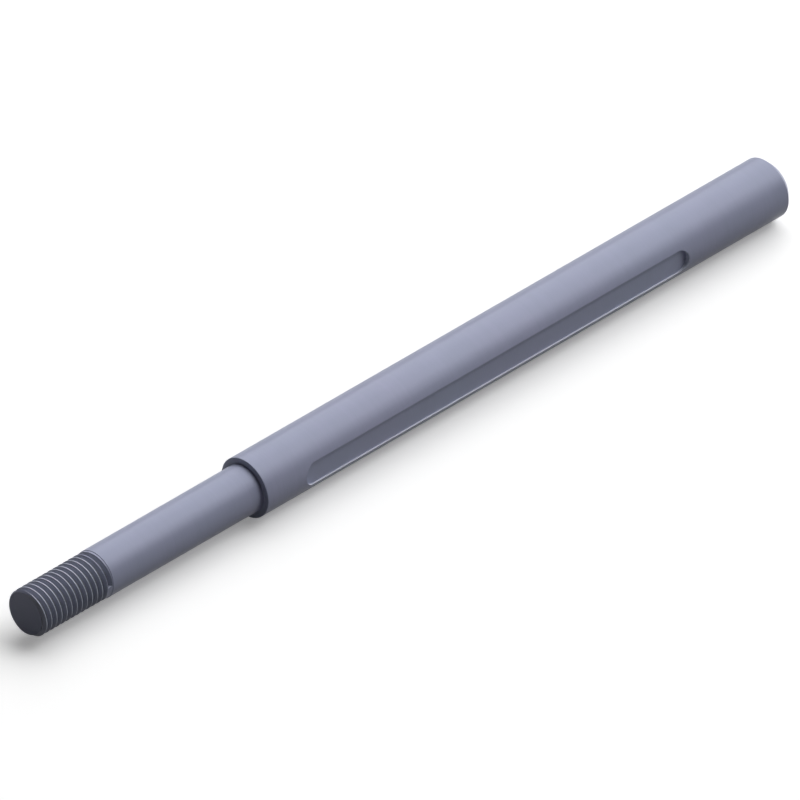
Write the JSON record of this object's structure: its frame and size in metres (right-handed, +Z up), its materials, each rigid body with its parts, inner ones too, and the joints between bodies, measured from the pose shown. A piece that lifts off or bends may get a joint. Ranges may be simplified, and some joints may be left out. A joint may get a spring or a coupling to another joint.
{
  "type": "stepped shaft",
  "caption": "Turned steel shaft stepped down to a plain bearing journal with a threaded end, and a long round-ended keyway along its larger diameter.",
  "frame": {"origin": "on the shaft's axis, in the plane of the shoulder between the two diameters", "axes": "X along the shaft, with +X towards the end of the keyed seat and -X towards the threaded end; -Y out of the keyway; +Z up, with the shaft lying level as it does in its bearings"},
  "size_m": [0.378, 0.0238, 0.0238],
  "materials": {
    "steel": "satin ground steel, blue-grey"
  },
  "bodies": {
    "root": {"shaft": "steel"}
  },
  "joints": []
}
